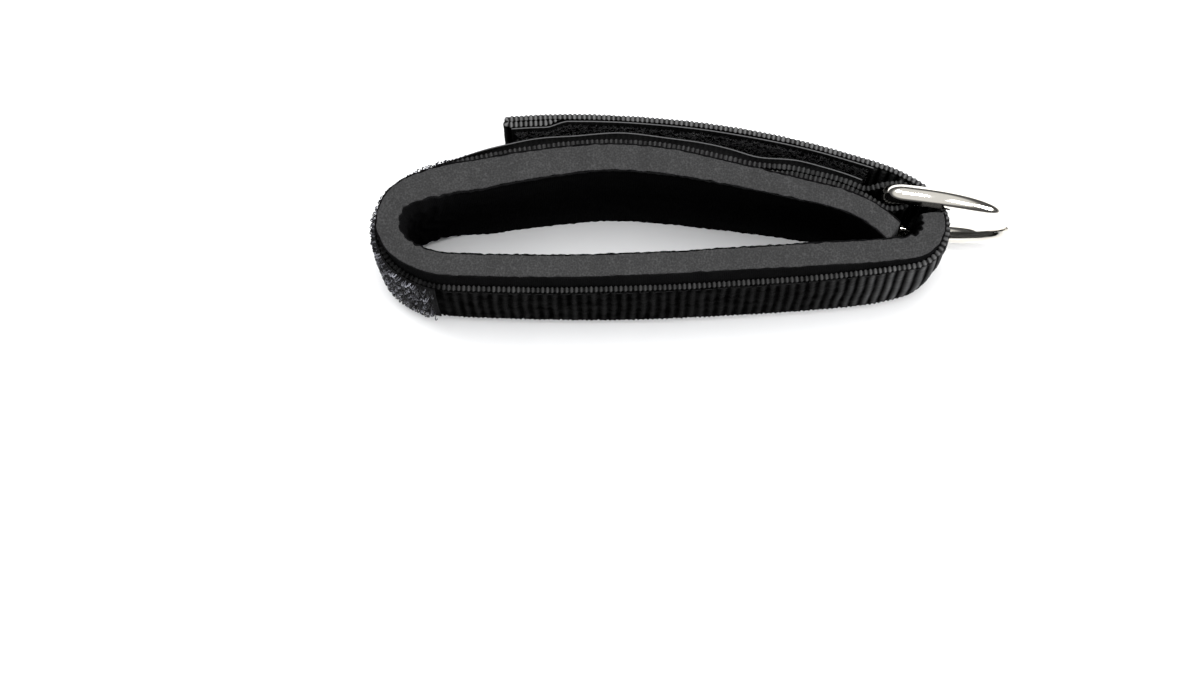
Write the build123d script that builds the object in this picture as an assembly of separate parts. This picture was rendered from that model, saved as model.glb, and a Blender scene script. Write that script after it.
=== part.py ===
from build123d import *
import math
import os

# Padded ankle cuff with a D-ring, standing on its lower edge.
# Millimetres, +Z up, origin at the bottom centre of the whole piece.
# +X runs along the flattened loop towards the D-ring.
# +Y runs from the plain side wall towards the side wall with the closing tail.

# --- driving dimensions -------------------------------------------------
PAD_HEIGHT = 62.0
PAD_THICKNESS = 6.6
LINING_THICKNESS = 0.4
WEBBING_WIDTH = 50.0
WEBBING_THICKNESS = 1.6
TAPE_THICKNESS = 0.4
TAPE_SELVEDGE = 4.5
HOOK_PILE_HEIGHT = 0.9
LOOP_PILE_HEIGHT = 0.7
THREAD_WIDTH = 0.6
THREAD_HEIGHT = 0.22
STITCH_LENGTH = 2.6
STITCH_PITCH = 3.6
SEAM_INSET = 2.4
RING_WIRE = 5.0
RING_INNER_WIDTH = 51.4
RING_CORNER_RADIUS = 4.0
RING_SIDE_LENGTH = 5.0
RING_REST_TURN = -5.5
RING_CLEARANCE = 0.3
KEEPER_LEG_LENGTH = 33.0
KEEPER_SEWN_LENGTH = 26.0
HEM_LENGTH = 14.0
FOLD_GAP = 0.3

# --- outline of the loop: outer face of the pad, seen from above ---------
# Each pair is (length along the face, turn in degrees, anticlockwise).
START_X = 54.51
START_Y = -5.56
START_HEADING = 135.4
SIDE_WALLS = [
    (22.6, 30.5),
    (36.5, 0.6),
    (35.6, 19.1),
    (30.6, 7.8),
    (19.7, 24.7),
    (25.0, 106.6),
    (14.2, 33.4),
    (128.0, 9.9),
    (20.2, 112.7),
    (7.5, 22.9),
]
TAIL_RUN = [
    (11.9, 19.9),
    (17.4, 1.7),
    (30.4, 6.7),
    (56.7, 12.0),
]
PAD_END = 329.1
BAR_STATION = 6.6
HOOK_END = 180.6
LOOP_START = 14.0

WEBBING_LOW = (PAD_HEIGHT - WEBBING_WIDTH) / 2
WEBBING_HIGH = WEBBING_LOW + WEBBING_WIDTH
MID_HEIGHT = PAD_HEIGHT / 2
WALL_LENGTH = sum(length for length, turn in SIDE_WALLS)
TAIL_LENGTH = sum(length for length, turn in TAIL_RUN)
low_seam = WEBBING_LOW + SEAM_INSET
high_seam = WEBBING_HIGH - SEAM_INSET


def stations(start, segments):
    """Return (start distance, x, y, heading, length, turn) for each segment."""
    x, y, heading = start
    run = 0.0
    table = []
    for length, turn in segments:
        table.append((run, x, y, heading, length, turn))
        x, y, heading = advance(x, y, heading, length, turn, length)
        run += length
    return table


def advance(x, y, heading, length, turn, distance):
    """Walk a distance along one arc or straight segment."""
    part = math.radians(turn) * distance / length
    angle = math.radians(heading)
    if abs(turn) < 1e-6:
        return x + distance * math.cos(angle), y + distance * math.sin(angle), heading
    radius = length / math.radians(turn)
    new_x = x + radius * (math.sin(angle + part) - math.sin(angle))
    new_y = y - radius * (math.cos(angle + part) - math.cos(angle))
    return new_x, new_y, heading + math.degrees(part)


def place(table, s):
    """Return x, y and heading at a distance along the path."""
    chosen = table[0]
    for row in table:
        if s >= row[0] - 1e-9:
            chosen = row
    run, x, y, heading, length, turn = chosen
    return advance(x, y, heading, length, turn, s - run)


def offset_point(table, s, offset):
    """Return a point beside the path; positive offsets lie outside the loop."""
    x, y, heading = place(table, s)
    angle = math.radians(heading)
    return x + offset * math.sin(angle), y - offset * math.cos(angle)


def breaks(table, s0, s1):
    """Distances where the segments change between two stations."""
    marks = [s0]
    for row in table:
        if s0 + 1e-6 < row[0] < s1 - 1e-6:
            marks.append(row[0])
    marks.append(s1)
    return marks


def side_edges(table, s0, s1, offset):
    """Arcs that follow the path at one offset."""
    marks = breaks(table, s0, s1)
    edges = []
    for a, b in zip(marks[:-1], marks[1:]):
        first = offset_point(table, a, offset)
        middle = offset_point(table, (a + b) / 2, offset)
        last = offset_point(table, b, offset)
        chord = math.dist(first, last)
        sag = math.dist(middle, ((first[0] + last[0]) / 2, (first[1] + last[1]) / 2))
        if sag < 1e-5 * chord:
            edges.append(Line(first, last))
        else:
            edges.append(ThreePointArc(first, middle, last))
    return edges


def ribbon(table, s0, s1, inner, outer, low, high):
    """Closed layer that follows the path between two offsets and two heights."""
    edges = side_edges(table, s0, s1, outer)
    edges.append(Line(offset_point(table, s1, outer), offset_point(table, s1, inner)))
    edges += side_edges(table, s0, s1, inner)
    edges.append(Line(offset_point(table, s0, inner), offset_point(table, s0, outer)))
    face = make_face(edges)
    layer = extrude(face, amount=high - low, dir=(0, 0, 1))
    return Pos(0, 0, low) * layer


def round_post(x, y, radius, low, high):
    """Upright cylinder between two heights."""
    return Pos(x, y, (low + high) / 2) * Cylinder(radius, high - low)


def seam_along(table, s0, s1, face_offset, height):
    """Row of thread stitches along the path at one height."""
    low = height - THREAD_WIDTH / 2
    high = height + THREAD_WIDTH / 2
    count = int((s1 - s0) / STITCH_PITCH)
    stitches = []
    for i in range(count):
        a = s0 + i * STITCH_PITCH
        b = a + STITCH_LENGTH
        stitches.append(ribbon(table, a, b, face_offset, face_offset + THREAD_HEIGHT, low, high))
    return stitches


def seam_across(table, s, face_offset, low, high):
    """Row of thread stitches across the webbing at one station."""
    a = s - THREAD_WIDTH / 2
    b = s + THREAD_WIDTH / 2
    count = int((high - low) / STITCH_PITCH)
    stitches = []
    for i in range(count):
        z = low + i * STITCH_PITCH
        top = z + STITCH_LENGTH
        stitches.append(ribbon(table, a, b, face_offset, face_offset + THREAD_HEIGHT, z, top))
    return stitches


def save(name, pieces):
    """Write one node."""
    if not isinstance(pieces, list):
        pieces = [pieces]
    solids = []
    for piece in pieces:
        solids += piece.solids()
    shape = solids[0] if len(solids) == 1 else Compound(children=solids)
    shape.label = name
    export_step(shape, f"parts/{name}.step")


os.makedirs("parts", exist_ok=True)

wall = stations((START_X, START_Y, START_HEADING), SIDE_WALLS)
fold_x, fold_y, fold_heading = place(wall, WALL_LENGTH)
tail = stations((fold_x, fold_y, fold_heading), TAIL_RUN)

# --- pad: foam core between two jersey linings ---------------------------
core_inner = -PAD_THICKNESS + LINING_THICKNESS
core_outer = -LINING_THICKNESS
save("neoprene_core", ribbon(wall, 0, PAD_END, core_inner, core_outer, 0, PAD_HEIGHT))
save("inner_lining", ribbon(wall, 0, PAD_END, -PAD_THICKNESS, core_inner, 0, PAD_HEIGHT))
save("outer_lining", ribbon(wall, 0, PAD_END, core_outer, 0, 0, PAD_HEIGHT))

# --- webbing strap with the keeper folded round the ring bar -------------
bore = RING_WIRE / 2 + RING_CLEARANCE
keeper_outer = bore + WEBBING_THICKNESS
bar_x, bar_y = offset_point(wall, BAR_STATION, keeper_outer)
strap_end = WALL_LENGTH - WEBBING_THICKNESS / 2 - FOLD_GAP
leg_end = BAR_STATION + KEEPER_LEG_LENGTH
strap = ribbon(wall, BAR_STATION, strap_end, 0, WEBBING_THICKNESS, WEBBING_LOW, WEBBING_HIGH)
ring_sleeve = round_post(bar_x, bar_y, keeper_outer, WEBBING_LOW, WEBBING_HIGH)
leg_flat = leg_end - KEEPER_SEWN_LENGTH
leg_face = 2 * WEBBING_THICKNESS
upper_leg_edges = [
    Line(
        offset_point(wall, BAR_STATION, 2 * keeper_outer),
        offset_point(wall, leg_flat, leg_face),
    ),
    Line(offset_point(wall, leg_flat, leg_face), offset_point(wall, leg_flat, WEBBING_THICKNESS)),
    *side_edges(wall, BAR_STATION, leg_flat, WEBBING_THICKNESS),
    Line(
        offset_point(wall, BAR_STATION, WEBBING_THICKNESS),
        offset_point(wall, BAR_STATION, 2 * keeper_outer),
    ),
]
upper_leg = extrude(make_face(upper_leg_edges), amount=WEBBING_WIDTH, dir=(0, 0, 1))
upper_leg = Pos(0, 0, WEBBING_LOW) * upper_leg
sewn_leg = ribbon(wall, leg_flat, leg_end, WEBBING_THICKNESS, leg_face, WEBBING_LOW, WEBBING_HIGH)
bar_hole = round_post(bar_x, bar_y, bore, -1, PAD_HEIGHT + 1)
save("webbing_strap", strap + ring_sleeve + upper_leg + sewn_leg - bar_hole)

# --- hook tape on the strap, round the far side and the left bend --------
# It lies one webbing higher where the keeper's leg is sewn in under the strap.
hook_start = leg_flat + 1.0
pile_low = WEBBING_LOW + TAPE_SELVEDGE
pile_high = WEBBING_HIGH - TAPE_SELVEDGE
high_face = leg_face + TAPE_THICKNESS
low_face = WEBBING_THICKNESS + TAPE_THICKNESS
tape = ribbon(wall, hook_start, leg_end, leg_face, high_face, WEBBING_LOW, WEBBING_HIGH)
tape += ribbon(wall, leg_end, HOOK_END, WEBBING_THICKNESS, low_face, WEBBING_LOW, WEBBING_HIGH)
tape += ribbon(
    wall, leg_end, leg_end + TAPE_THICKNESS, WEBBING_THICKNESS, high_face, WEBBING_LOW, WEBBING_HIGH
)
save("hook_tape", tape)
high_pile = high_face + HOOK_PILE_HEIGHT
low_pile = low_face + HOOK_PILE_HEIGHT
pile_start = hook_start + 8.0
save("hook_pile", [
    ribbon(wall, pile_start, leg_end - 1, high_face, high_pile, pile_low, pile_high),
    ribbon(wall, leg_end + 3, HOOK_END - 3, low_face, low_pile, pile_low, pile_high),
])

# --- seams on the pad side -----------------------------------------------
for name, height in (("lower", low_seam), ("upper", high_seam)):
    hook_seam = seam_along(wall, hook_start + 1, leg_end, high_face, height)
    hook_seam += seam_along(wall, leg_end + 2, HOOK_END - 1, low_face, height)
    save(f"stitch_hook_{name}", hook_seam)
    strap_seam = seam_along(wall, HOOK_END + 2, PAD_END - 2, WEBBING_THICKNESS, height)
    save(f"stitch_strap_{name}", strap_seam)
save("stitch_hook_end", seam_across(wall, HOOK_END - 1.5, low_face, low_seam + 2, high_seam - 1))
keeper_rows = seam_across(wall, hook_start + 3.0, high_face, low_seam + 2, high_seam - 1)
keeper_rows += seam_across(wall, hook_start + 5.5, high_face, low_seam + 2, high_seam - 1)
save("stitch_keeper", keeper_rows)

# --- D-ring: straight bar, two corners, short sides, half-circle bow --------------------
bow_radius = (RING_INNER_WIDTH + RING_WIRE) / 2
corner = RING_CORNER_RADIUS
diagonal = math.sqrt(0.5)
bar_top = MID_HEIGHT + bow_radius - corner
bar_bottom = MID_HEIGHT - bow_radius + corner


rest_turn = math.radians(RING_REST_TURN)


def ring_point(reach, height):
    """Point in the plane of the ring."""
    x = bar_x + reach * math.cos(rest_turn)
    y = bar_y + reach * math.sin(rest_turn)
    return (x, y, height)


bow_reach = corner + RING_SIDE_LENGTH
ring_high = MID_HEIGHT + bow_radius
ring_low = MID_HEIGHT - bow_radius
wire_path = Wire([
    Line(ring_point(0, bar_bottom), ring_point(0, bar_top)),
    ThreePointArc(
        ring_point(0, bar_top),
        ring_point(corner * (1 - diagonal), bar_top + corner * diagonal),
        ring_point(corner, ring_high),
    ),
    Line(ring_point(corner, ring_high), ring_point(bow_reach, ring_high)),
    ThreePointArc(
        ring_point(bow_reach, ring_high),
        ring_point(bow_reach + bow_radius, MID_HEIGHT),
        ring_point(bow_reach, ring_low),
    ),
    Line(ring_point(bow_reach, ring_low), ring_point(corner, ring_low)),
    ThreePointArc(
        ring_point(corner, ring_low),
        ring_point(corner * (1 - diagonal), bar_bottom - corner * diagonal),
        ring_point(0, bar_bottom),
    ),
])
wire_section = Plane(origin=ring_point(0, bar_bottom), z_dir=(0, 0, 1)) * Circle(RING_WIRE / 2)
save("d_ring", sweep(wire_section, path=wire_path))

# --- closing tail: webbing, folded hem, loop tape --------------------------
half = WEBBING_THICKNESS / 2
hinge_x, hinge_y = offset_point(tail, 0, half)
tail_strap = ribbon(tail, 0, TAIL_LENGTH, 0, WEBBING_THICKNESS, WEBBING_LOW, WEBBING_HIGH)
fold_round = round_post(hinge_x, hinge_y, half, WEBBING_LOW, WEBBING_HIGH)
hem_start = TAIL_LENGTH - HEM_LENGTH
hem = ribbon(tail, hem_start, TAIL_LENGTH, -WEBBING_THICKNESS, 0, WEBBING_LOW, WEBBING_HIGH)
hem_x, hem_y = offset_point(tail, TAIL_LENGTH, 0)
hem_round = round_post(hem_x, hem_y, WEBBING_THICKNESS, WEBBING_LOW, WEBBING_HIGH)
save("tail_webbing", tail_strap + fold_round + hem + hem_round)
# The loop tape runs on over the hem, one webbing lower.
loop_end = TAIL_LENGTH - 0.6
hem_face = -WEBBING_THICKNESS
loop_face = -TAPE_THICKNESS
hem_loop_face = hem_face - TAPE_THICKNESS
loop_tape = ribbon(tail, LOOP_START, hem_start, loop_face, 0, WEBBING_LOW, WEBBING_HIGH)
loop_tape += ribbon(tail, hem_start, loop_end, hem_loop_face, hem_face, WEBBING_LOW, WEBBING_HIGH)
loop_tape += ribbon(
    tail, hem_start - TAPE_THICKNESS, hem_start, hem_loop_face, 0, WEBBING_LOW, WEBBING_HIGH
)
save("loop_tape", loop_tape)
loop_top = loop_face - LOOP_PILE_HEIGHT
hem_loop_top = hem_loop_face - LOOP_PILE_HEIGHT
save("loop_pile", [
    ribbon(tail, LOOP_START + 2, hem_start - 2, loop_top, loop_face, pile_low, pile_high),
    ribbon(tail, hem_start + 1, loop_end - 1, hem_loop_top, hem_loop_face, pile_low, pile_high),
])
tail_face = WEBBING_THICKNESS
save("stitch_loop_lower", seam_along(tail, LOOP_START + 1, TAIL_LENGTH - 8, tail_face, low_seam))
save("stitch_loop_upper", seam_along(tail, LOOP_START + 1, TAIL_LENGTH - 8, tail_face, high_seam))
hem_rows = seam_across(tail, TAIL_LENGTH - 6, tail_face, low_seam - 1, high_seam + 1)
hem_rows += seam_across(tail, TAIL_LENGTH - 4, tail_face, low_seam - 1, high_seam + 1)
save("stitch_hem", hem_rows)
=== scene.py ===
import math
import bpy
import numpy as np
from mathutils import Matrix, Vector


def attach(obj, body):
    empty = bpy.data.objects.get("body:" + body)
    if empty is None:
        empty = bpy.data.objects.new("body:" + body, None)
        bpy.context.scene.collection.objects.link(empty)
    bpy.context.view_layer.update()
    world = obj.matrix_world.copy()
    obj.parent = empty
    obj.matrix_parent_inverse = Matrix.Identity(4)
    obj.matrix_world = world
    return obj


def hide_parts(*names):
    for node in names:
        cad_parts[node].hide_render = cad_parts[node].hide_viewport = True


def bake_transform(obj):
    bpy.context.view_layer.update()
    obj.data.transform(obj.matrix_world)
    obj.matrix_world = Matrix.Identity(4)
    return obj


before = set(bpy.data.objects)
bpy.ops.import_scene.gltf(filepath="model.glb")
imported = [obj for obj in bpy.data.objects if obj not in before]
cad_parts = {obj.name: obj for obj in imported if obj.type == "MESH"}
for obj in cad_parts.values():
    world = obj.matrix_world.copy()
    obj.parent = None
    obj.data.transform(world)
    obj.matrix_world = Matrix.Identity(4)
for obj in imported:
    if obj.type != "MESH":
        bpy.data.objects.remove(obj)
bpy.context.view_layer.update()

# Lengths below are millimetres until a mesh is made.
MM = 0.001

# --- shape of the band, seen from above: (length, turn in degrees) ---------
START = (54.51, -5.56, 135.4)
SIDE_WALLS = [
    (22.6, 30.5), (36.5, 0.6), (35.6, 19.1), (30.6, 7.8), (19.7, 24.7),
    (25.0, 106.6), (14.2, 33.4), (128.0, 9.9), (20.2, 112.7), (7.5, 22.9),
]
TAIL_RUN = [(11.9, 19.9), (17.4, 1.7), (30.4, 6.7), (56.7, 12.0)]
WALL_LENGTH = sum(length for length, turn in SIDE_WALLS)
TAIL_LENGTH = sum(length for length, turn in TAIL_RUN)
PAD_END = 329.1
PAD_HEIGHT = 62.0
PAD_THICK = 6.6
LINING = 0.4
WEB = 1.6
WEB_LOW = 6.0
WEB_HIGH = 56.0
TAPE = 0.4
SELVEDGE = 4.5
BAR_STATION = 6.6
LEG_FLAT = 13.6
LEG_END = 39.6
HOOK_START = 14.6
HOOK_END = 180.6
LOOP_START = WALL_LENGTH + 14.0
HEM_LENGTH = 14.0
HEM_TAPER = 4.0
LEG_TAPER = 8.0
WIRE = 2.5
PLATING = 0.2
RING_INNER_HALF = 25.7
RING_CORNER = 4.0
RING_SIDE = 5.0
RING_TURN = -7.3
BORE = 2.8
KEEPER_OUTER = BORE + WEB
KEEPER_SAG = 2.4
MID = PAD_HEIGHT / 2
WEB_ROUND = 0.45
TAPE_ROUND = 0.14
TAPE_INSET = 0.3
SEAM_INSET = 2.4
STITCH = 2.6
STITCH_PITCH = 3.6
ZIGZAG = 1.8
THREAD_RADIUS = 0.16
HOOK_RADIUS = 0.16
LOOP_RADIUS = 0.09
PHASE = 6.28


# --- noise that is the same on every run ------------------------------------
def wobble(x, seed, size):
    """Smooth random line of about unit height; size is its usual wave length."""
    rng = np.random.default_rng(seed)
    out = np.zeros_like(np.asarray(x, float))
    for k in range(6):
        f = 2 * math.pi / size * (0.45 + 1.3 * rng.random())
        out = out + np.sin(np.asarray(x) * f + rng.random() * PHASE)
    return out / 2.4


def mottle(x, y, seed, size):
    """Smooth random field of about unit height over two coordinates."""
    rng = np.random.default_rng(seed)
    out = 0.0
    for k in range(8):
        f = 2 * math.pi / size * (0.4 + 1.2 * rng.random())
        a = rng.random() * PHASE
        out = out + np.sin(f * (x * math.cos(a) + y * math.sin(a)) + rng.random() * PHASE)
    return out / 2.8


def step(x, low, high):
    """Smooth 0 to 1 between low and high."""
    t = np.clip((x - low) / (high - low), 0, 1)
    return t * t * (3 - 2 * t)


def window(x, low, high, soft):
    """1 between low and high, with soft flanks outside them."""
    return step(x, low - soft, low) * (1 - step(x, high, high + soft))


# --- a line in plan with distances along it -----------------------------------
def arc_chain(start, segments, pitch=0.2):
    """Rows of distance, x and y along a chain of arcs."""
    x, y, heading = start[0], start[1], math.radians(start[2])
    rows = [(0.0, x, y)]
    run = 0.0
    for length, turn in segments:
        turn = math.radians(turn)
        steps = max(2, int(length / pitch))
        for i in range(1, steps + 1):
            d = length * i / steps
            part = turn * i / steps
            if abs(turn) < 1e-9:
                rows.append((run + d, x + d * math.cos(heading), y + d * math.sin(heading)))
            else:
                r = length / turn
                rows.append((
                    run + d,
                    x + r * (math.sin(heading + part) - math.sin(heading)),
                    y - r * (math.cos(heading + part) - math.cos(heading)),
                ))
        run += length
        x, y = rows[-1][1], rows[-1][2]
        heading += turn
    return np.array(rows)


def soften(values, spread):
    """Running average that keeps the two ends in place."""
    n = int(3 * spread)
    if n < 1:
        return values
    kernel = np.exp(-0.5 * (np.arange(-n, n + 1) / spread) ** 2)
    kernel /= kernel.sum()
    head = 2 * values[0] - values[n:0:-1]
    foot = 2 * values[-1] - values[-2:-n - 2:-1]
    return np.convolve(np.concatenate([head, values, foot]), kernel, "valid")


class Route:
    """A smoothed line in plan that gives points beside it at any distance."""

    def __init__(self, s, x, y, smooth=1.2, pitch=0.2, wall=None):
        n = int((s[-1] - s[0]) / pitch) + 2
        self.s = np.linspace(s[0], s[-1], n)
        spread = smooth / (self.s[1] - self.s[0])
        self.x = soften(np.interp(self.s, s, x), spread)
        self.y = soften(np.interp(self.s, s, y), spread)
        self.w = self.s if wall is None else np.interp(self.s, s, wall)
        tx, ty = np.gradient(self.x, self.s), np.gradient(self.y, self.s)
        size = np.hypot(tx, ty)
        self.tx, self.ty = tx / size, ty / size

    def at(self, s, off):
        tx, ty = np.interp(s, self.s, self.tx), np.interp(s, self.s, self.ty)
        return np.interp(s, self.s, self.x) + off * ty, np.interp(s, self.s, self.y) - off * tx

    def wall(self, s):
        """Station along the pad beside this point of the route."""
        return np.interp(s, self.s, self.w)


chain = arc_chain(START, SIDE_WALLS + TAIL_RUN)
LEAD = 4.0
lead_angle = math.radians(START[2])
lead_row = [-LEAD, START[0] - LEAD * math.cos(lead_angle), START[1] - LEAD * math.sin(lead_angle)]
chain = np.concatenate([[lead_row], chain])
band = Route(chain[:, 0], chain[:, 1], chain[:, 2])
BAR_X, BAR_Y = (float(v) for v in band.at(BAR_STATION, KEEPER_OUTER))
TAIL_START = WALL_LENGTH


def route_from(points, walls, smooth, pitch=0.2):
    """Route through points; walls are the stations of the band beside them."""
    pts = np.array(points, float)
    s = np.concatenate([[0], np.cumsum(np.hypot(*np.diff(pts, axis=0).T))])
    return Route(s, pts[:, 0], pts[:, 1], smooth, pitch, np.array(walls, float))


def keeper_route():
    """Strap's middle line: sewn leg on the pad, over the ring bar, back along the band."""
    half = WEB / 2
    pts, walls = [], []

    def add(s, off):
        pts.append(band.at(s, off))
        walls.append(s)

    for s in np.linspace(LEG_END, BAR_STATION, 60):
        add(s, half * (1 - 0.8 * step(s, LEG_END - LEG_TAPER, LEG_END)))
    first = math.atan2(pts[-1][1] - BAR_Y, pts[-1][0] - BAR_X)
    top = band.at(BAR_STATION, KEEPER_OUTER + BORE + half)
    last = math.atan2(top[1] - BAR_Y, top[0] - BAR_X)
    for t in np.linspace(0, 1, 40)[1:]:
        a = first + (last - first) * t
        r = BORE + half + KEEPER_SAG * max(0.0, math.cos(a - 0.1)) ** 2
        pts.append((BAR_X + r * math.cos(a), BAR_Y + r * math.sin(a)))
        walls.append(BAR_STATION)
    for t in np.linspace(0, 1, 40)[1:]:
        fall = t * t * (3 - 2 * t)
        add(BAR_STATION + (LEG_FLAT - BAR_STATION) * t,
            KEEPER_OUTER + BORE + half + (1.5 * WEB - KEEPER_OUTER - BORE - half) * fall)
    for s in np.arange(LEG_FLAT + 0.5, HOOK_END + 0.1, 0.5):
        add(s, half + lift(s))
    return route_from(pts, walls, 0.7)


def lift(s):
    """Extra height of the strap's outer face where the keeper leg lies under it."""
    return WEB * (1 - step(s, LEG_END - LEG_TAPER, LEG_END + 6.0))


# --- how the whole band gives: the rims lean in, the middle bows out -----------
# Each profile lists (station along the band, millimetres outwards, or inwards at the foot).
RIM_LEAN = [
    (0, 0.0), (8, -0.1), (14, -0.5), (24, -0.9), (100, -0.9), (122, -0.7), (132, 0.6), (140, 1.9),
    (148, 2.4), (158, 1.9), (164, 0.4), (170, -0.5), (178, -1.1), (186, -1.4), (262, -1.5), (288, -0.9),
    (308, 0.1), (314, 0.3), (318, 0.6), (323, 0.5), (328, 0.3), (334, 0.1), (352, 0.2), (460, 0.2),
]
FOOT_SLANT = [
    (0, 0.0), (14, 0.0), (34, 1.2), (60, 3.4), (100, 4.0), (135, 3.0), (150, 0.0), (200, -0.4),
    (230, -1.2), (296, -1.9), (308, -1.9), (320, 0.8), (328, 2.2), (335, 4.2), (342, 3.8), (362, 2.4),
    (400, 4.2), (460, 4.2),
]
BOW = [
    (0, 0.0), (165, 0.0), (195, 0.45), (262, 0.45), (288, 0.85), (308, 1.0), (318, 0.7), (330, 0.3),
    (345, 0.0), (375, 0.5), (460, 0.7),
]
BELLY = 0.9
CUPPING = 0.35
fine_s = np.linspace(0, 460, 461)


def read(pairs, s):
    """Value of a profile at the stations s."""
    stations, values = zip(*pairs)
    return np.interp(s, stations, values)


def profile(pairs, spread):
    """Smoothed values of a profile at every station of fine_s."""
    return soften(read(pairs, fine_s), spread)


rim_table = profile(RIM_LEAN, 2.5)
slant_table = profile(FOOT_SLANT, 5.0)
bow_table = profile(BOW, 5.0)


def lean(s, z):
    """How far the band gives sideways: rims lean or flare, the far wall's foot comes in."""
    rim = np.clip((np.abs(z - MID) - 24.0) / 7.0, 0, 1) ** 1.4
    foot = 1 - np.clip(z / PAD_HEIGHT, 0, 1)
    belly = BELLY * window(s, 317, 336, 9) * (1 - ((z - MID) / MID) ** 2)
    belly = belly + np.interp(s, fine_s, bow_table)
    return (np.interp(s, fine_s, rim_table) * rim - CUPPING * ((z - MID) / 25.0) ** 2
            - np.interp(s, fine_s, slant_table) * foot + belly)


# --- meshes -------------------------------------------------------------------
def build(name, points, faces, uv=None, tone=None, smooth=True):
    """points (n, 3) in millimetres; faces is a list of integer arrays."""
    me = bpy.data.meshes.new(name)
    points = np.asarray(points, np.float32) * MM
    loops = np.concatenate([np.asarray(f, np.int32).ravel() for f in faces])
    totals = np.concatenate([np.full(len(f), f.shape[1], np.int32) for f in faces])
    starts = np.concatenate([[0], np.cumsum(totals)[:-1]]).astype(np.int32)
    me.vertices.add(len(points))
    me.vertices.foreach_set("co", points.ravel())
    me.loops.add(len(loops))
    me.loops.foreach_set("vertex_index", loops)
    me.polygons.add(len(totals))
    me.polygons.foreach_set("loop_start", starts)
    me.update(calc_edges=True)
    me.validate()
    me.polygons.foreach_set("use_smooth", np.full(len(me.polygons), smooth))
    if uv is not None:
        layer = me.uv_layers.new(name="UVMap")
        index = np.empty(len(me.loops), np.int32)
        me.loops.foreach_get("vertex_index", index)
        layer.data.foreach_set("uv", np.asarray(uv, np.float32)[index].ravel())
    if tone is not None:
        attribute = me.attributes.new("tone", "FLOAT", "POINT")
        attribute.data.foreach_set("value", np.asarray(tone, np.float32).ravel())
    ob = bpy.data.objects.new(name, me)
    bpy.context.scene.collection.objects.link(ob)
    return ob


def grid_quads(n, m, wrap=False):
    """Quads of an n by m grid of points, closed across m if wrapped."""
    i = np.arange(n - 1)[:, None]
    j = np.arange(m if wrap else m - 1)[None, :]
    k = (j + 1) % m
    a, b = i * m + j, (i + 1) * m + j
    c, d = (i + 1) * m + k, i * m + k
    return np.stack([a, b, c, d], -1).reshape(-1, 4)


def section(low, high, inner, outer, radius, out_step, in_step, side_step=0.4):
    """Closed rounded slab section: offsets, heights and outward directions."""
    off, z, no, nz = [], [], [], []

    def add(o, h, a, b):
        off.extend(o), z.extend(h), no.extend(a), nz.extend(b)

    def corner(co, cz, start):
        a = np.radians(np.array([start + 22.5, start + 45, start + 67.5]))
        add(co + radius * np.cos(a), cz + radius * np.sin(a), np.cos(a), np.sin(a))

    def count(length, pitch):
        return max(2, int(round(length / pitch)) + 1)

    n = count(high - low - 2 * radius, out_step)
    add(np.full(n, outer), np.linspace(low + radius, high - radius, n), np.ones(n), np.zeros(n))
    corner(outer - radius, high - radius, 0)
    n = count(outer - inner - 2 * radius, side_step)
    add(np.linspace(outer - radius, inner + radius, n), np.full(n, high), np.zeros(n), np.ones(n))
    corner(inner + radius, high - radius, 90)
    n = count(high - low - 2 * radius, in_step)
    add(np.full(n, inner), np.linspace(high - radius, low + radius, n), -np.ones(n), np.zeros(n))
    corner(inner + radius, low + radius, 180)
    n = count(outer - inner - 2 * radius, side_step)
    add(np.linspace(inner + radius, outer - radius, n), np.full(n, low), np.zeros(n), -np.ones(n))
    corner(outer - radius, low + radius, 270)
    return [np.array(v)[None, :] for v in (off, z, no, nz)]


def sweep(name, route, stations, off, z, uv_shift=0.0, tone=None, push=None):
    """Closed solid: one section ring at every station, with flat end caps."""
    n, m = len(stations), z.shape[1]
    s = stations if stations.ndim == 2 else np.broadcast_to(stations[:, None], (n, m))
    off, z = np.broadcast_to(off, (n, m)), np.broadcast_to(z, (n, m))
    x, y = route.at(s, off)
    if push is not None:
        wall = route.wall(s)
        x = x + push * np.interp(wall, band.s, band.ty)
        y = y - push * np.interp(wall, band.s, band.tx)
    points = np.stack([x, y, z], -1).reshape(-1, 3)
    ring = np.arange(m)
    faces = [grid_quads(n, m, wrap=True), ring[None, :], (ring[::-1] + (n - 1) * m)[None, :]]
    uv = np.stack([(s + uv_shift) / 100, (z + off) / 100], -1).reshape(-1, 2)
    return build(name, points, faces, uv, None if tone is None else np.broadcast_to(tone, (n, m)))


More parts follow.
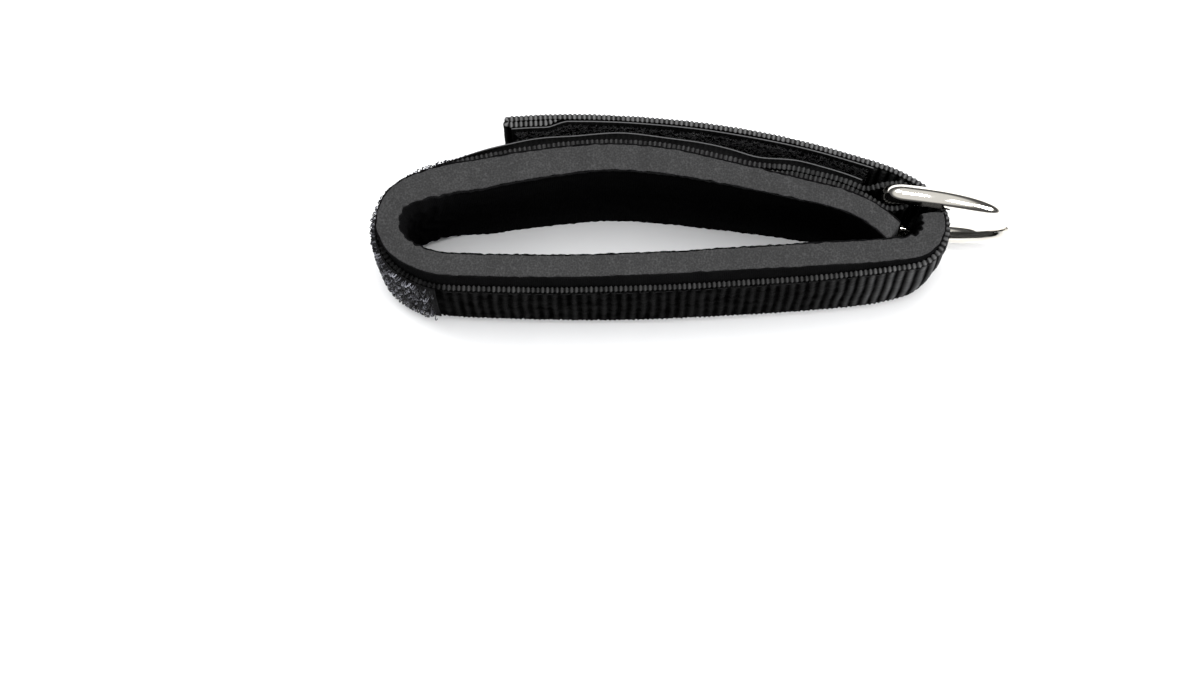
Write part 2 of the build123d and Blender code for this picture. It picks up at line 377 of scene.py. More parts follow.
def tube(points, radius, sides, closed=False):
    """Round tubes along centre lines: points (k, p, 3) gives k tubes; returns verts, faces."""
    k, p, _ = points.shape
    d = np.roll(points, -1, 1) - np.roll(points, 1, 1) if closed else np.gradient(points, axis=1)
    d = d / np.linalg.norm(d, axis=2, keepdims=True)
    up = np.zeros_like(d)
    up[..., 0] = 0.31
    up[..., 1] = 0.93
    up[..., 2] = 0.19
    a = np.cross(d, up)
    a /= np.linalg.norm(a, axis=2, keepdims=True)
    b = np.cross(d, a)
    angle = np.arange(sides) * 2 * math.pi / sides
    r = np.broadcast_to(np.asarray(radius, float).reshape(-1, 1, 1, 1) if np.ndim(radius) == 1
                        else np.asarray(radius, float), (k, p, 1, 1))
    verts = (points[:, :, None, :] + r * (a[:, :, None, :] * np.cos(angle)[None, None, :, None]
                                          + b[:, :, None, :] * np.sin(angle)[None, None, :, None]))
    base = grid_quads(p + (1 if closed else 0), sides, wrap=True)
    if closed:
        base = np.where(base >= p * sides, base - p * sides, base)
    shift = (np.arange(k) * p * sides)[:, None, None]
    faces = [(base[None] + shift).reshape(-1, 4)]
    if not closed:
        ring = np.arange(sides)
        faces.append((ring[::-1][None, None] + shift).reshape(-1, sides))
        faces.append((ring[None, None] + (p - 1) * sides + shift).reshape(-1, sides))
    return verts.reshape(-1, 3), faces


def route_points(route, s, off, z):
    """Points in space at distance s, offset off and height z."""
    x, y = route.at(s, off)
    return np.stack([x, y, np.broadcast_to(z, x.shape)], -1)


# --- materials -----------------------------------------------------------------
def new_material(name):
    mat = bpy.data.materials.new(name)
    mat.use_nodes = True
    nt = mat.node_tree
    return mat, nt, nt.nodes["Principled BSDF"]


def node(nt, kind, **values):
    n = nt.nodes.new(kind)
    for key, value in values.items():
        if hasattr(n, key):
            setattr(n, key, value)
        else:
            n.inputs[key.replace("_", " ")].default_value = value
    return n


def ramp(nt, source, stops):
    """Colour ramp with (position, colour) stops."""
    n = nt.nodes.new("ShaderNodeValToRGB")
    el = n.color_ramp.elements
    while len(el) < len(stops):
        el.new(0.5)
    for e, (at, colour) in zip(el, stops):
        e.position = at
        e.color = (*colour, 1)
    nt.links.new(source, n.inputs["Fac"])
    return n.outputs["Color"]


def mapped(nt, scale):
    uv = nt.nodes.new("ShaderNodeUVMap")
    uv.uv_map = "UVMap"
    m = nt.nodes.new("ShaderNodeMapping")
    m.inputs["Scale"].default_value = scale
    nt.links.new(uv.outputs["UV"], m.inputs["Vector"])
    return m.outputs["Vector"]


def noise(nt, vector, scale, detail=3.0, rough=0.6):
    n = node(nt, "ShaderNodeTexNoise", Scale=scale, Detail=detail, Roughness=rough)
    nt.links.new(vector, n.inputs["Vector"])
    return n.outputs["Fac"]


def math_node(nt, kind, a, b):
    n = nt.nodes.new("ShaderNodeMath")
    n.operation = kind
    for i, v in enumerate((a, b)):
        if isinstance(v, (int, float)):
            n.inputs[i].default_value = v
        else:
            nt.links.new(v, n.inputs[i])
    return n.outputs[0]


def cloth(name, dark, light, rough, grain, knit=0.0, bump=0.00008, sheen=0.25, tone=True,
          shine=0.2):
    """Yarn material: tone from the weave's height, fibre noise, fine bump."""
    mat, nt, bsdf = new_material(name)
    flat = mapped(nt, (1, 1, 1))
    fine = noise(nt, flat, grain)
    wide = noise(nt, flat, 14.0, 2.0)
    value = math_node(nt, "MULTIPLY", fine, 0.55)
    value = math_node(nt, "ADD", value, math_node(nt, "MULTIPLY", wide, 0.35))
    if tone:
        # The 'tone' attribute holds the pieces' painted shade and highlights, and a random tone on the
        # hooks.
        a = nt.nodes.new("ShaderNodeAttribute")
        a.attribute_name = "tone"
        value = math_node(nt, "ADD", math_node(nt, "MULTIPLY", value, 0.35),
                          math_node(nt, "MULTIPLY", a.outputs["Fac"], 0.65))
    nt.links.new(ramp(nt, value, [(0.15, dark), (0.95, light)]), bsdf.inputs["Base Color"])
    spread = node(nt, "ShaderNodeMapRange", To_Min=rough - 0.1, To_Max=min(1.0, rough + 0.1))
    nt.links.new(fine, spread.inputs["Value"])
    nt.links.new(spread.outputs["Result"], bsdf.inputs["Roughness"])
    height = fine
    if knit:
        rows = node(nt, "ShaderNodeTexWave", Scale=knit, Distortion=1.2, Detail=1.0)
        rows.bands_direction = "X"
        nt.links.new(flat, rows.inputs["Vector"])
        cols = node(nt, "ShaderNodeTexWave", Scale=knit * 1.3, Distortion=1.5, Detail=1.0)
        cols.bands_direction = "Y"
        nt.links.new(flat, cols.inputs["Vector"])
        both = math_node(nt, "MULTIPLY", rows.outputs["Fac"], cols.outputs["Fac"])
        height = math_node(nt, "ADD", both, math_node(nt, "MULTIPLY", fine, 0.6))
    b = node(nt, "ShaderNodeBump", Strength=0.8, Distance=bump)
    nt.links.new(height, b.inputs["Height"])
    nt.links.new(b.outputs["Normal"], bsdf.inputs["Normal"])
    bsdf.inputs["Sheen Weight"].default_value = sheen
    bsdf.inputs["Sheen Roughness"].default_value = 0.5
    bsdf.inputs["Specular IOR Level"].default_value = shine
    return mat


def foam_material():
    mat, nt, bsdf = new_material("cut_foam")
    where = nt.nodes.new("ShaderNodeTexCoord").outputs["Object"]
    pores = node(nt, "ShaderNodeTexVoronoi", Scale=1900.0)
    nt.links.new(where, pores.inputs["Vector"])
    fine = noise(nt, where, 2600.0, 4.0, 0.7)
    patch = noise(nt, where, 160.0, 3.0)
    value = math_node(nt, "ADD", math_node(nt, "MULTIPLY", fine, 0.6),
                      math_node(nt, "MULTIPLY", pores.outputs["Distance"], 0.35))
    value = math_node(nt, "ADD", value, math_node(nt, "MULTIPLY", patch, 0.25))
    colour = ramp(nt, value, [(0.3, (0.015, 0.015, 0.0152)), (0.6, (0.0275, 0.0275, 0.028)),
                              (0.9, (0.056, 0.056, 0.057))])
    nt.links.new(colour, bsdf.inputs["Base Color"])
    b = node(nt, "ShaderNodeBump", Strength=0.9, Distance=0.00018)
    nt.links.new(value, b.inputs["Height"])
    nt.links.new(b.outputs["Normal"], bsdf.inputs["Normal"])
    bsdf.inputs["Roughness"].default_value = 0.92
    bsdf.inputs["Specular IOR Level"].default_value = 0.2
    return mat


def plated_material():
    mat, nt, bsdf = new_material("bright_nickel")
    where = nt.nodes.new("ShaderNodeTexCoord").outputs["Object"]
    haze = noise(nt, where, 90.0, 4.0)
    scratch = nt.nodes.new("ShaderNodeMapping")
    scratch.inputs["Scale"].default_value = (300.0, 2200.0, 300.0)
    nt.links.new(where, scratch.inputs["Vector"])
    lines = noise(nt, scratch.outputs["Vector"], 1.0, 2.0)
    spread = node(nt, "ShaderNodeMapRange", To_Min=0.04, To_Max=0.12)
    nt.links.new(haze, spread.inputs["Value"])
    nt.links.new(spread.outputs["Result"], bsdf.inputs["Roughness"])
    nt.links.new(ramp(nt, haze, [(0.2, (0.86, 0.82, 0.74)), (0.8, (0.93, 0.90, 0.84))]),
                 bsdf.inputs["Base Color"])
    b = node(nt, "ShaderNodeBump", Strength=0.06, Distance=0.00003)
    nt.links.new(lines, b.inputs["Height"])
    nt.links.new(b.outputs["Normal"], bsdf.inputs["Normal"])
    bsdf.inputs["Metallic"].default_value = 1.0
    return mat


WEBBING = cloth("webbing_yarn", (0.0005, 0.0005, 0.0005), (0.12, 0.12, 0.121), 0.85, 260.0, sheen=0.0,
                shine=0.0)
TAPE_CLOTH = cloth("tape_yarn", (0.001, 0.001, 0.001), (0.13, 0.13, 0.133), 0.8, 320.0, sheen=0.0,
                   shine=0.0)
OUTER_KNIT = cloth("outer_jersey", (0.0016, 0.0016, 0.0016), (0.009, 0.009, 0.0095), 0.95, 220.0,
                   knit=55.0, bump=0.00015, sheen=0.0, tone=False, shine=0.0)
INNER_KNIT = cloth("inner_jersey", (0.0016, 0.0016, 0.0017), (0.012, 0.012, 0.0125), 0.97, 220.0,
                   knit=55.0, bump=0.00015, sheen=0.0, tone=False, shine=0.0)
HOOK_NYLON = cloth("hook_nylon", (0.0006, 0.0006, 0.001), (0.42, 0.425, 0.48), 0.4, 300.0,
                   sheen=0.0, shine=0.1)
LOOP_NYLON = cloth("loop_nylon", (0.004, 0.004, 0.005), (0.020, 0.020, 0.023), 0.8, 300.0,
                   tone=False)
THREAD = cloth("sewing_thread", (0.004, 0.004, 0.004), (0.022, 0.022, 0.023), 0.8, 400.0,
               sheen=0.0, tone=False, shine=0.05)
FOAM = foam_material()
NICKEL = plated_material()


def finish_piece(ob, material, body, nodes, bends=False):
    """Material, slot, body and the CAD nodes that the piece stands for."""
    ob.data.materials.append(material)
    if nodes:
        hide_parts(*nodes)
    if not bends:
        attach(ob, body)
    return ob


# --- webbing: ribs across the strap, herringbone inside each rib, looped edges --
RIB = 2.75
YARN = 1.73
BEAD = 1.35
FACE_RELIEF = 0.50
SIDE_RELIEF = 0.55
MEAN_HEIGHT = 0.68
SIDE_TONE = 1.4
EDGE_TONE = 0.30
FACE_TONE = 0.34


def weave(s, z, up):
    """Relief along the surface direction, and a 0 to 1 tone from its height: painted shade in the
    weave's hollows, lighter on its ridges and beads.
    """
    s = s + 0.16 * mottle(s, z, 11, 40.0)
    zz = z + 0.22 * mottle(s, z, 12, 30.0)
    cell = np.floor(s / RIB)
    a = s / RIB - cell
    b = (zz + 0.95 * RIB * np.abs(a - 0.5)) / YARN + 0.13 * np.sin(cell * 12.99)
    yarn = np.abs(np.cos(math.pi * b)) ** 0.7
    ridge = np.sin(math.pi * a) ** 1.5
    face = ridge * (0.62 + 0.38 * yarn)
    edge = np.minimum(z - WEB_LOW, WEB_HIGH - z)
    in_edge = 1 - step(edge, 0.9, 1.3)
    beads = np.abs(np.sin(math.pi * (s / BEAD + 0.4 * np.abs(edge - 0.5)))) ** 1.8
    valley = 1 - window(edge, 1.2, 1.6, 0.5)
    h = face * (1 - in_edge) * valley + 0.9 * beads * in_edge
    side = np.abs(up) > 0.5
    loops = np.abs(np.sin(math.pi * s / BEAD)) ** 1.7
    h = np.where(side, loops, h) * (1 + 0.12 * mottle(s, z, 13, 6.0))
    # Painted shade: the tone follows the relief's height, so the hollows are darker; the strap's narrow
    # sides get a lighter level than its faces.
    level = np.where(side, SIDE_TONE, np.where(in_edge > 0.5, EDGE_TONE, FACE_TONE))
    tone = np.clip(h, 0, 1.2) ** 1.8 * level
    return np.where(side, SIDE_RELIEF, FACE_RELIEF) * (h - MEAN_HEIGHT), np.clip(tone, 0, 1.3)


def strap_painted_shading(run, z, face, shaded_level):
    """Painted shade and light in the strap's colour: painted shade along the plain side and from
    station 130 to the hook tape's end, a painted highlight round the right bend.
    """
    # Painted shade: the colour is held at the given level before the right bend and reaches full tone
    # round it.
    lit = shaded_level + (1 - shaded_level) * step(run, 280, 316)
    # Painted shade on the strap's face along the plain side; its narrow sides take the level squared.
    tone = (1 - 0.45 * window(run, HOOK_END, 262, 40) * face) * np.where(face, lit, lit ** 2)
    # Painted highlight on the strap's face round the right bend.
    tone = tone * (1 + 2.2 * window(run, 318, 340, 36) * face * (np.abs(z - MID) < 23.8))
    # Painted shade from station 130 to the hook tape's end.
    return tone * (1 - 0.8 * window(run, 130, HOOK_END - 1, 8))


def strap_piece(name, route, s0, s1, inner, outer, pitch, out_step, in_step, shift=0.0, shaded_level=1.0,
                thin=None):
    """Webbing from s0 to s1 of a route; shift turns its stations into the strap's own run."""
    off, z, no, nz = section(WEB_LOW, WEB_HIGH, inner, outer, WEB_ROUND, out_step, in_step, 0.25)
    st = np.linspace(s0, s1, int((s1 - s0) / pitch) + 1)
    S = st[:, None] + 0 * z
    Z = z + 0 * S
    run = S + shift
    h, tone = weave(run, Z, nz)
    # The colour takes the painted shade and highlight along the strap's run.
    tone = tone * strap_painted_shading(run, Z, np.abs(nz) < 0.5, shaded_level)
    if thin is not None:
        off = off * thin(S)
    edge_wave = 0.22 * wobble(run, 21, 60.0) * np.sign(Z - MID)
    Z2 = Z + h * nz + edge_wave * step(np.abs(Z - MID), 15, 25)
    return sweep(name, route, st, off + h * no, Z2, shift, tone, push=lean(route.wall(S), Z2))


# strap under the hook tape, with the keeper round the ring bar
keeper = keeper_route()
keeper_shift = HOOK_END - keeper.s[-1]
# This strap's colour carries painted shade, at 0.6 of full tone.
keeper_strap = strap_piece("strap_keeper_and_far_side", keeper, 0, keeper.s[-1], -WEB / 2, WEB / 2,
                           0.47, 0.37, 1.2, shift=keeper_shift, shaded_level=0.6,
                           thin=lambda run: 0.2 + 0.8 * step(run, 0, LEG_TAPER))
finish_piece(keeper_strap, WEBBING, "cuff", ["webbing_strap"])

# strap along the plain side
HANDOVER = WALL_LENGTH - 24.0
# This strap's colour carries painted shade along the plain side, lifting to full tone at the right
# bend.
near_strap = strap_piece("strap_plain_side", band, HOOK_END - 0.02, HANDOVER, 0, WEB, 0.36, 0.33, 1.6,
                         shaded_level=0.62)
finish_piece(near_strap, WEBBING, "cuff", [])

# strap through the ring and back as the tail: it bends at the fold
TAIL_END = TAIL_START + TAIL_LENGTH
# This strap's colour carries a painted highlight round the right bend.
tail_strap = strap_piece("strap_fold_and_tail", band, HANDOVER, TAIL_END, 0, WEB, 0.42, 0.34, 1.2)
finish_piece(tail_strap, WEBBING, "tail", ["tail_webbing"], bends=True)


# folded hem at the tail's end
def hem_route():
    """Middle line of the hem, folded back under the tail's end."""
    half = WEB / 2
    pts, walls = [], []
    for s in np.linspace(TAIL_END - 1.5, TAIL_END, 6):
        pts.append(band.at(s, half))
        walls.append(s)
    cx, cy = (float(v) for v in band.at(TAIL_END, 0.0))
    a0 = math.atan2(pts[-1][1] - cy, pts[-1][0] - cx)
    for t in np.linspace(0, math.pi, 24)[1:]:
        pts.append((cx + half * math.cos(a0 + t), cy + half * math.sin(a0 + t)))
        walls.append(TAIL_END)
    for s in np.linspace(TAIL_END, TAIL_END - HEM_LENGTH, 40)[1:]:
        thinned = 1 - 0.75 * step(TAIL_END - s, HEM_LENGTH - HEM_TAPER, HEM_LENGTH)
        pts.append(band.at(s, -half * thinned))
        walls.append(s)
    return route_from(pts, walls, 0.25, 0.1)


hem = hem_route()
hem_strap = strap_piece("tail_hem", hem, 0, hem.s[-1], -WEB / 2, WEB / 2, 0.22, 0.36, 1.2,
                        shift=TAIL_END - 1.5,
                        thin=lambda run: 1 - 0.75 * step(run, hem.s[-1] - HEM_TAPER, hem.s[-1]))
finish_piece(hem_strap, WEBBING, "tail", [])


# --- pad ------------------------------------------------------------------------
def buckle(s, z):
    """Small folds pushed up on the inner face where the pad bends."""
    left = window(s, 138, 170, 9)
    right = window(s, 311, 327, 6)
    fold = np.sin(2 * math.pi * s / 5.2 + 1.3 * mottle(s, z, 31, 26.0) * 2)
    return (0.32 * left + 0.5 * right) * np.maximum(fold, -0.3)


# (station along the band, extra millimetres of foam)
PLUMP = [
    (0, -0.3), (25, -0.5), (45, 0.1), (71, 1.3), (124, 1.2), (150, 0.4), (175, 0.1), (250, 0.0),
    (290, 0.4), (312, 0.1), (330, 0.0),
]
TOP_PLUMP = [(85, 0.0), (112, 0.9), (124, 1.2), (136, 1.4), (147, 0.0)]


def plump(s, z):
    """Extra thickness of the foam where no strap pulls it flat."""
    return read(PLUMP, s) + read(TOP_PLUMP, s) * np.clip(z / PAD_HEIGHT, 0, 1)


def foot_swell(s, z):
    """The pad's foot is squashed thicker where its two ends meet."""
    foot = (1 - np.clip(z / PAD_HEIGHT, 0, 1)) ** 1.2
    return foot * (3.6 * window(s, 304, 331, 8) + 1.8 * (1 - step(s, 2, 16)))


def rim_wave(s, seed):
    """Uneven cutting of the rims."""
    return 0.30 * wobble(s, seed, 46.0) + 0.12 * wobble(s, seed + 1, 9.0)


def pad_layer(name, inner, outer, radius, pitch, face_step, edge_step, top_drop, seed):
    """One layer of the pad between two depths, with the pad's swelling, folds and wavy rims."""
    off, z, no, nz = section(0, PAD_HEIGHT, inner, outer, radius, face_step, face_step, edge_step)
    n = int(PAD_END / pitch) + 1
    st = np.linspace(0, PAD_END, n)
    S = st[:, None] + 0 * z
    Z = z + 0 * S
    depth = (off - (-PAD_THICK)) / PAD_THICK
    S = S + (1 - depth) * (2.6 * step(S, PAD_END - 9, PAD_END) - 1.2 * (1 - step(S, 0, 7)))
    S = S - (0.5 + 3.0 * (1 - Z / PAD_HEIGHT) ** 1.5) * (1 - step(S, 0, 6))
    O = off - (buckle(S, Z) + plump(S, Z) + foot_swell(S, Z)) * (1 - depth) ** 1.5
    rim = step(np.abs(Z - MID), 20, 31)
    O = O + lean(S, Z) + 0.10 * rim * mottle(S, off * 3 + Z, seed, 2.6)
    rough = 0.10 * mottle(S, off * 3, seed + 5, 3.0) * (np.abs(nz) > 0.5)
    Z2 = Z + (rim_wave(S, 41) * rim - top_drop * rim + rough) * np.sign(Z - MID)
    Z2 = np.clip(Z2, 0.0, None)
    return sweep(name, band, S, O, Z2)


foam = pad_layer("foam_core", -PAD_THICK + LINING, -LINING, 0.25, 0.7, 1.6, 0.35, 0.0, 50)
finish_piece(foam, FOAM, "cuff", ["neoprene_core"])
inner_face = pad_layer("inner_jersey_face", -PAD_THICK, -PAD_THICK + LINING, 0.2, 0.7, 0.9, 0.2,
                       0.15, 60)
finish_piece(inner_face, INNER_KNIT, "cuff", ["inner_lining"])
outer_face = pad_layer("outer_jersey_face", -LINING, 0.0, 0.2, 0.8, 1.2, 0.2, 0.15, 70)
finish_piece(outer_face, OUTER_KNIT, "cuff", ["outer_lining"])


# --- hook and loop tapes -----------------------------------------------------------
def hook_base(s):
    """Height of the strap under the hook tape."""
    return WEB + lift(s)


def loop_base(s):
    """Height under the loop tape, which runs over the hem."""
    return -WEB * step(s, TAIL_END - HEM_LENGTH - 2.5, TAIL_END - HEM_LENGTH + HEM_TAPER)


def flatten(s):
    """The tape's long edges lie flat round the left bend, where their painted highlight is weaker too.
    """
    return 1 - 0.95 * window(s, 128, 200, 14)


# (station along the band, share of the curl of the tape's long edges)
CURL_SHARE = [(18, 0.8), (34, 0.85), (50, 1.2), (75, 1.0)]


def tape_piece(name, s0, s1, base, inner, outer, side, curl, seed):
    """Tape ground; side is +1 when its pile faces outwards, curl lifts its long edges."""
    off, z, no, nz = section(WEB_LOW + TAPE_INSET, WEB_HIGH - TAPE_INSET, inner, outer, TAPE_ROUND,
                            0.35, 1.5, 0.14)
    st = np.linspace(s0, s1, int((s1 - s0) / 0.5) + 1)
    S = st[:, None] + 0 * z
    Z = z + 0 * S
    edge = np.minimum(Z - WEB_LOW, WEB_HIGH - Z)
    ribs = np.abs(np.cos(math.pi * edge / 0.9))
    picks = np.abs(np.sin(math.pi * S / 0.75))
    h = 0.5 * ribs + 0.5 * picks
    up = 1 - step(edge, 0.3, 3.0)
    rise = curl * up ** 1.5 * (0.9 + 0.12 * wobble(S, seed + 3, 34.0)) * flatten(S)
    rise = rise * read(CURL_SHARE, S)
    O = off + base(S) + 0.10 * (h - 0.5) * no + side * rise + lean(S, Z)
    Z2 = Z + 0.18 * wobble(S, seed, 30.0) * np.sign(Z - MID) * step(np.abs(Z - MID), 15, 25)
    # Painted highlight along the tape's long edges, weaker round the left bend; faint painted shade in
    # the weave's hollows on its faces.
    tone = np.where(np.abs(nz) > 0.8, 0.8 * flatten(S), 0.15 * h)
    return sweep(name, band, st, O, Z2, 0.0, tone)


hook_ground = tape_piece("hook_tape_ground", HOOK_START, HOOK_END, hook_base, 0, TAPE, 1, 1.5, 81)
finish_piece(hook_ground, TAPE_CLOTH, "cuff", ["hook_tape"])
loop_ground = tape_piece("loop_tape_ground", LOOP_START, TAIL_END - 0.6, loop_base, -TAPE, 0, -1,
                         0.25, 82)
finish_piece(loop_ground, TAPE_CLOTH, "tail", ["loop_tape"])


HOOK_PITCH = 1.45
HOOK_ROW = 1.25
LOOP_COUNT = 3400


def hooks():
    """Field of small bent hooks on the hook tape."""
    rng = np.random.default_rng(91)
    s = np.arange(HOOK_START + 8.0, HOOK_END - 0.7, HOOK_PITCH)
    z = np.arange(WEB_LOW + 0.2, WEB_HIGH, HOOK_ROW)
    S, Z = np.meshgrid(s, z, indexing="ij")
    S = S + 0.5 * HOOK_PITCH * (np.arange(len(z)) % 2)[None, :] + rng.normal(0, 0.12, S.shape)
    Z = Z + rng.normal(0, 0.12, Z.shape)
    side = np.where((np.arange(len(z)) // 2 % 2 == 0)[None, :].repeat(len(s), 0), 1, -1)
    kept = (np.abs(Z - MID) < 22.4) | (S > 133 + rng.normal(0, 2.0, S.shape))
    kept &= S < HOOK_END - 0.7 - rng.exponential(1.6, S.shape)
    S, Z, side = S[kept], Z[kept], side[kept]
    reach = np.array([0.0, 0.02, 0.12, 0.34, 0.56, 0.62])
    rise = np.array([-0.05, 0.50, 0.95, 1.20, 1.05, 0.75])
    near_edge = np.where(np.abs(Z - MID) > 21.0, 0.55 + 0.6 * step(S, 120, 145), 1)
    height = rng.uniform(0.8, 1.15, S.shape) * near_edge
    yaw = rng.normal(0, 0.6, S.shape)
    s_line = S[:, None] + side[:, None] * reach[None, :] * np.cos(yaw)[:, None]
    z_line = Z[:, None] + reach[None, :] * np.sin(yaw)[:, None]
    o_line = hook_base(s_line) + TAPE + rise[None, :] * height[:, None] + lean(s_line, z_line)
    pts = route_points(band, s_line, o_line, z_line)
    verts, faces = tube(pts, HOOK_RADIUS, 4)
    uv = np.stack([verts[:, 0] / 100, verts[:, 2] / 100], -1)
    tone = np.repeat(rng.random(len(S)) ** 5.0, len(verts) // len(S))
    return build("hook_pile_hooks", verts, faces, uv, tone)


hook_field = hooks()
finish_piece(hook_field, HOOK_NYLON, "cuff", ["hook_pile"])


def loop_fuzz():
    """Field of low thread loops on the loop tape."""
    rng = np.random.default_rng(92)
    S = rng.uniform(LOOP_START + 1.5, TAIL_END - 2.0, LOOP_COUNT)
    Z = rng.uniform(WEB_LOW + SELVEDGE, WEB_HIGH - SELVEDGE, LOOP_COUNT)
    a = rng.uniform(0, 2 * math.pi, LOOP_COUNT)
    w = rng.uniform(0.5, 1.1, LOOP_COUNT)
    t = np.linspace(0, math.pi, 6)
    along = np.cos(t)[None, :] * w[:, None]
    rise = np.sin(t)[None, :] * rng.uniform(0.35, 0.65, LOOP_COUNT)[:, None] - 0.04
    s_line = S[:, None] + along * np.cos(a)[:, None]
    z_line = Z[:, None] + along * np.sin(a)[:, None]
    pts = route_points(band, s_line, loop_base(s_line) - TAPE - rise + lean(s_line, z_line), z_line)
    verts, faces = tube(pts, LOOP_RADIUS, 3)
    uv = np.stack([verts[:, 0] / 100, verts[:, 2] / 100], -1)
    return build("loop_pile_loops", verts, faces, uv)


loop_field = loop_fuzz()
finish_piece(loop_field, LOOP_NYLON, "tail", ["loop_pile"])


# --- stitches ------------------------------------------------------------------------
def stitches(name, rows, body, nodes):
    """rows: (s from, s to, z from, z to, offset function) for every stitch."""
    t = np.linspace(0, 1, 7)
    pts = []
    for s0, s1, z0, z1, base in rows:
        s, z = s0 + (s1 - s0) * t, z0 + (z1 - z0) * t
        rise = 0.10 * np.sin(math.pi * t) ** 0.6 - 0.12
        pts.append(route_points(band, s, base(s) + rise + lean(s, z), z))
    verts, faces = tube(np.array(pts), THREAD_RADIUS, 6)
    uv = np.stack([(verts[:, 0] + verts[:, 1]) / 100, verts[:, 2] / 100], -1)
    ob = build(name, verts, faces, uv)
    finish_piece(ob, THREAD, body, nodes)
    return ob


def row_along(s0, s1, z, base, stitch=STITCH, pitch=STITCH_PITCH):
    return [(s, s + stitch, z, z, base) for s in np.arange(s0, s1 - stitch, pitch)]


def row_across(s, base, z0, z1, stitch=STITCH, pitch=STITCH_PITCH):
    return [(s, s, z, z + stitch, base) for z in np.arange(z0, z1 - stitch, pitch)]


def on_hook(s):
    return hook_base(s) + TAPE


def on_web(s):
    return WEB + 0 * s


LOW_SEAM = WEB_LOW + SEAM_INSET
HIGH_SEAM = WEB_HIGH - SEAM_INSET
for label, height in (("lower", LOW_SEAM), ("upper", HIGH_SEAM)):
    stitches(f"stitches_hook_{label}", row_along(HOOK_START + 1, HOOK_END - 1, height, on_hook),
             "cuff", [f"stitch_hook_{label}"])
    stitches(f"stitches_strap_{label}", row_along(HOOK_END + 2, PAD_END - 2, height, on_web),
             "cuff", [f"stitch_strap_{label}"])
    stitches(f"stitches_loop_{label}", row_along(LOOP_START + 1, TAIL_END - 8, height, on_web),
             "tail", [f"stitch_loop_{label}"])
stitches("stitches_hook_end", row_across(HOOK_END - 1.5, on_hook, LOW_SEAM + 2, HIGH_SEAM), "cuff",
         ["stitch_hook_end"])
keeper_rows = []
for inset in (3.0, 5.5):
    keeper_rows += row_across(HOOK_START + inset, on_hook, LOW_SEAM + 2, HIGH_SEAM - 1)
stitches("stitches_keeper", keeper_rows, "cuff", ["stitch_keeper"])
zig = []
for k, z in enumerate(np.arange(LOW_SEAM - 1, HIGH_SEAM, ZIGZAG)):
    a, b = (5.6, 3.4) if k % 2 == 0 else (3.4, 5.6)
    zig.append((TAIL_END - a, TAIL_END - b, z, z + ZIGZAG, on_web))
stitches("stitches_hem", zig, "tail", ["stitch_hem"])


# --- D-ring ---------------------------------------------------------------------------
def bend(x, z, radius, first, last, n):
    """Points on an arc round (x, z), without the last one."""
    angles = np.linspace(first, last, n)[:-1]
    return [(x + radius * math.cos(a), z + radius * math.sin(a)) for a in angles]


def ring():
    """Round wire bent to a D, its straight bar standing in the keeper."""
    half = RING_INNER_HALF + WIRE
    corner, side = RING_CORNER, RING_SIDE
    pts = []
    for z in np.linspace(-(half - corner), half - corner, 60)[:-1]:
        pts.append((0, z))
    pts += bend(corner, half - corner, corner, math.pi, math.pi / 2, 16)
    for x in np.linspace(corner, corner + side, 5)[:-1]:
        pts.append((x, half))
    pts += bend(corner + side, 0.0, half, math.pi / 2, -math.pi / 2, 140)
    for x in np.linspace(corner + side, corner, 5)[:-1]:
        pts.append((x, -half))
    pts += bend(corner, -(half - corner), corner, -math.pi / 2, -math.pi, 16)
    pts = np.array(pts)
    turn = math.radians(RING_TURN)
    line = np.stack([BAR_X + pts[:, 0] * math.cos(turn), BAR_Y + pts[:, 0] * math.sin(turn),
                     MID + pts[:, 1]], -1)
    verts, faces = tube(line[None], WIRE + PLATING, 40, closed=True)
    uv = np.stack([verts[:, 0] / 100, verts[:, 2] / 100], -1)
    return build("d_ring_wire", verts, faces, uv)


ring_piece = ring()
finish_piece(ring_piece, NICKEL, "d_ring", ["d_ring"])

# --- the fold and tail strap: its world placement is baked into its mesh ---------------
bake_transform(tail_strap)

# --- floor, lights, camera ----------------------------------------------------------------
floor_mesh = bpy.data.meshes.new("floor")
FLOOR_HALF = 3.0
corners = [(i * FLOOR_HALF, j * FLOOR_HALF, 0) for i, j in ((-1, -1), (1, -1), (1, 1), (-1, 1))]
floor_mesh.from_pydata(corners, [], [(0, 1, 2, 3)])
floor = bpy.data.objects.new("floor", floor_mesh)
bpy.context.scene.collection.objects.link(floor)
paper, nt, bsdf = new_material("white_paper")
grain = noise(nt, nt.nodes.new("ShaderNodeTexCoord").outputs["Object"], 60.0)
nt.links.new(ramp(nt, grain, [(0.3, (0.90, 0.905, 0.915)), (0.7, (0.92, 0.925, 0.935))]),
             bsdf.inputs["Base Color"])
bsdf.inputs["Roughness"].default_value = 0.85
bsdf.inputs["Specular IOR Level"].default_value = 0.1
floor_mesh.materials.append(paper)


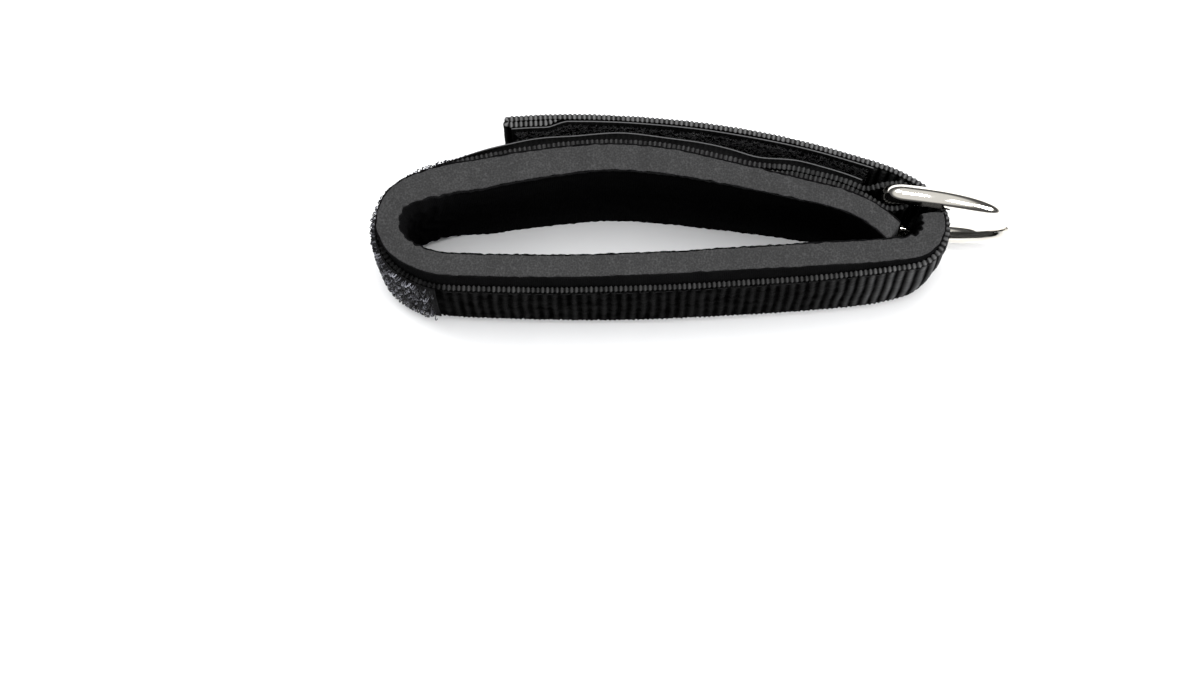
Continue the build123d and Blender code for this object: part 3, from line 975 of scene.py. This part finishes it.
def area_light(name, place, target, size, power, colour=(1, 1, 1)):
    """Rectangular lamp at a place, turned to its target."""
    data = bpy.data.lights.new(name, "AREA")
    data.shape = "RECTANGLE"
    data.size, data.size_y = size
    data.energy = power
    data.color = colour
    ob = bpy.data.objects.new(name, data)
    bpy.context.scene.collection.objects.link(ob)
    ob.location = place
    aim(ob, target)
    return ob


def aim(ob, target):
    """Turn an object so that it looks at the target."""
    d = Vector(target) - ob.location
    ob.rotation_euler = d.to_track_quat("-Z", "Y").to_euler()


area_light("overhead", (-0.02, 0.12, 1.6), (-0.02, 0, 0), (0.55, 0.55), 20.0)
area_light("key", (-0.9, 0.8, 1.5), (0, 0, 0.02), (0.8, 0.8), 16.0)
area_light("fill", (1.1, -0.4, 1.2), (0, 0, 0.03), (0.8, 0.8), 6.0)
area_light("right", (0.9, -0.16, 0.35), (0.05, 0, 0.03), (0.35, 0.35), 4.2)

world = bpy.data.worlds.new("studio")
bpy.context.scene.world = world
world.use_nodes = True
wnt = world.node_tree
background = wnt.nodes["Background"]
coord = wnt.nodes.new("ShaderNodeTexCoord")
split = wnt.nodes.new("ShaderNodeSeparateXYZ")
wnt.links.new(coord.outputs["Generated"], split.inputs["Vector"])
sky = ramp(wnt, split.outputs["Z"], [(0.0, (0.07, 0.07, 0.07)), (0.35, (0.15, 0.15, 0.155)),
                                     (0.55, (1.0, 0.995, 0.98)), (1.0, (1.0, 1.0, 1.0))])
wnt.links.new(sky, background.inputs["Color"])
background.inputs["Strength"].default_value = 0.75
bpy.context.scene.view_settings.view_transform = "Standard"

camera_data = bpy.data.cameras.new("camera")
camera_data.sensor_width = 36.0
camera_data.lens = 120.8
camera_data.clip_start = 0.05
camera = bpy.data.objects.new("camera", camera_data)
bpy.context.scene.collection.objects.link(camera)
AIM = (-0.02812, -0.03837, 0.062)
ELEVATION = math.radians(82.3)
DISTANCE = 1.10
camera.location = (AIM[0], AIM[1] - DISTANCE * math.cos(ELEVATION),
                   AIM[2] + DISTANCE * math.sin(ELEVATION))
aim(camera, AIM)
bpy.context.scene.camera = camera
